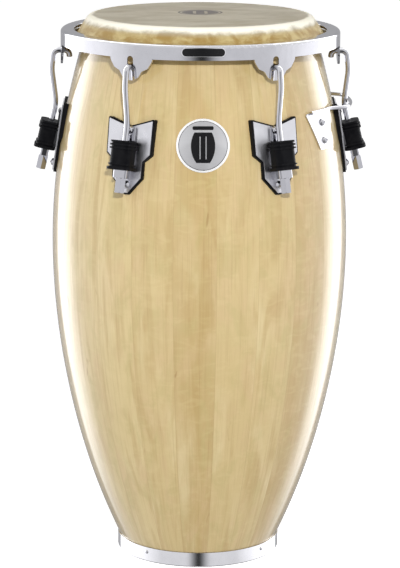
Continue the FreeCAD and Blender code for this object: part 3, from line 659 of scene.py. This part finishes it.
def turned_section(node):
    """The section of a turned CAD disc as (radius, height), from the axis over the top and back to it."""
    shape = bmesh.new()
    shape.from_mesh(frame["nodes"][node].data)
    bmesh.ops.remove_doubles(shape, verts=shape.verts, dist=SAME_POINT)
    on_plane = [v for v in shape.verts if abs(v.co.y) < ON_PLANE and v.co.x > -ON_PLANE]
    here = max(on_plane, key=lambda v: v.co.z - v.co.x)
    unvisited = set(on_plane)
    section = []
    while here is not None:
        unvisited.remove(here)
        section.append((max(here.co.x, 0.0), here.co.z))
        around = [edge.other_vert(here) for edge in here.link_edges]
        here = next((v for v in around if v in unvisited), None)
    shape.free()
    return [(0.0, section[0][1])] + section + [(0.0, section[-1][1])]


def build_head(look):
    piece = lathe("hide_head", turned_section("head_skin"), TURNED_STEPS)
    smooth(piece, 35.0)
    piece.data.materials.append(look)
    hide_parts("head_skin")
    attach(piece, "head_assembly")


# ---------------------------------------------------------------- metal and rubber pieces

def build_fittings():
    """Every other piece, in its own finish."""
    looks = {name: make_chrome(name, tint, rough) for name, (tint, rough) in CHROMES.items()}
    looks["zinc_steel"] = make_steel()
    looks["black_rubber"] = make_rubber()
    looks["black_enamel"] = make_enamel()
    looks["brushed_metal"] = make_brushed()
    for node, (rounding, finish) in FINISHES.items():
        polish(node, rounding, looks[finish])
    for part, (rounding, finish) in LUG_FINISHES.items():
        for k in range(1, LUGS + 1):
            polish(part + "_" + str(k), rounding, looks[finish])


# ---------------------------------------------------------------- stage, camera, light

def build_floor(look):
    mesh = bpy.data.meshes.new("floor")
    corners = [(-1, -1), (1, -1), (1, 1), (-1, 1)]
    mesh.from_pydata([(x * FLOOR_SIZE, y * FLOOR_SIZE, 0) for x, y in corners], [], [(0, 1, 2, 3)])
    mesh.materials.append(look)
    floor = link("floor", mesh)
    floor.visible_glossy = False
    floor.visible_diffuse = False


def build_camera():
    data = bpy.data.cameras.new("camera")
    data.sensor_width = SENSOR
    data.lens = FOCAL_LENGTH
    data.clip_end = CAMERA_REACH
    camera = link("camera", data)
    turn = Matrix.Rotation(CAMERA_AZIMUTH - CAMERA_AIM, 4, "Z")
    tip = Matrix.Rotation(math.pi / 2 - CAMERA_PITCH, 4, "X")
    roll = Matrix.Rotation(CAMERA_ROLL, 4, "Z")
    place = Vector((math.sin(CAMERA_AZIMUTH), -math.cos(CAMERA_AZIMUTH), 0)) * CAMERA_DISTANCE
    place.z = CAMERA_HEIGHT
    camera.matrix_world = Matrix.Translation(place) @ turn @ tip @ roll
    bpy.context.scene.camera = camera


def area_light(name, azimuth, distance, height, size, power, aim_height):
    """A lamp panel standing at an azimuth from the front, turned towards the drum."""
    data = bpy.data.lights.new(name, "AREA")
    data.shape = "RECTANGLE"
    data.size, data.size_y = size
    data.energy = power
    lamp = link(name, data)
    angle = math.radians(azimuth)
    lamp.location = (math.sin(angle) * distance, -math.cos(angle) * distance, height)
    aim = Vector((0, 0, aim_height)) - lamp.location
    lamp.rotation_euler = aim.to_track_quat("-Z", "Y").to_euler()
    lamp.visible_camera = False
    lamp.visible_glossy = False


def room_walls(n, azimuth):
    """The room's level at each azimuth, as a colour ramp."""
    ramp = n.add("ShaderNodeValToRGB")
    n.feed(ramp.inputs[0], n.span(azimuth, -180.0, 180.0))
    elements = ramp.color_ramp.elements
    while len(elements) < len(ROOM):
        elements.new(0.5)
    for element, (angle, level) in zip(elements, ROOM):
        element.position = (angle + 180.0) / 360.0
        element.color = rgb(level, level, level * ROOM_BLUE)
    return ramp.outputs[0]


def reflected_room(n, azimuth, rise):
    """What polished surfaces reflect: walls, a dark patch in front, a ceiling, a soft box on each side."""
    darkest, full, dimmed = LOW_DIMMING
    room = n.mix(1.0, room_walls(n, azimuth), n.ease(rise, darkest, full, dimmed, 1.0), "MULTIPLY")
    full, end, level = FRONT_PATCH
    across = n.ease(n.math("ABSOLUTE", azimuth), full, end, 1.0, 0.0)
    patch = n.math("MULTIPLY", across, n.ease(rise, *FRONT_PATCH_TOP, 1.0, 0.0))
    room = n.mix(patch, room, grey(level))
    room = n.mix(n.ease(rise, *CEILING_RISE), room, grey(CEILING_LEVEL))
    upright = n.ease(rise, *SOFT_BOX_FOOT, 0.0, SOFT_BOX_LEVEL)
    for start, full, still_full, end in SOFT_BOXES:
        fall = n.ease(azimuth, still_full, end, 1.0, 0.0)
        across = n.math("MULTIPLY", n.ease(azimuth, start, full), fall)
        room = n.mix(1.0, room, n.math("MULTIPLY", across, upright), "ADD")
    return room


def build_world():
    """Even white surroundings; what shines reflects a studio with a soft box on each side."""
    world = bpy.data.worlds.new("studio")
    bpy.context.scene.world = world
    world.use_nodes = True
    n = Nodes(world.node_tree)
    x, y, rise = n.xyz(n.add("ShaderNodeTexCoord").outputs["Generated"])
    turn = n.math("ARCTAN2", x, n.math("MULTIPLY", y, -1.0))
    azimuth = n.math("MULTIPLY", turn, 180.0 / math.pi)
    rays = n.add("ShaderNodeLightPath")
    even = n.ease(rise, *HORIZON, FLOOR_LIGHT, SKY_LIGHT)
    lit = n.mix(rays.outputs["Is Glossy Ray"], even, reflected_room(n, azimuth, rise))
    seen = n.mix(rays.outputs["Is Camera Ray"], lit, WHITE)
    background = n.add("ShaderNodeBackground", {"Color": seen, "Strength": 1.0})
    n.add("ShaderNodeOutputWorld", {"Surface": background.outputs[0]})


def build_studio():
    build_floor(make_floor_material())
    build_camera()
    build_world()
    for name, lamp in LAMPS.items():
        area_light(name, *lamp)
    settings = bpy.context.scene.view_settings
    settings.view_transform = "Standard"
    settings.look = "None"


build_barrel(make_wood())
build_head(make_hide())
build_fittings()
build_studio()
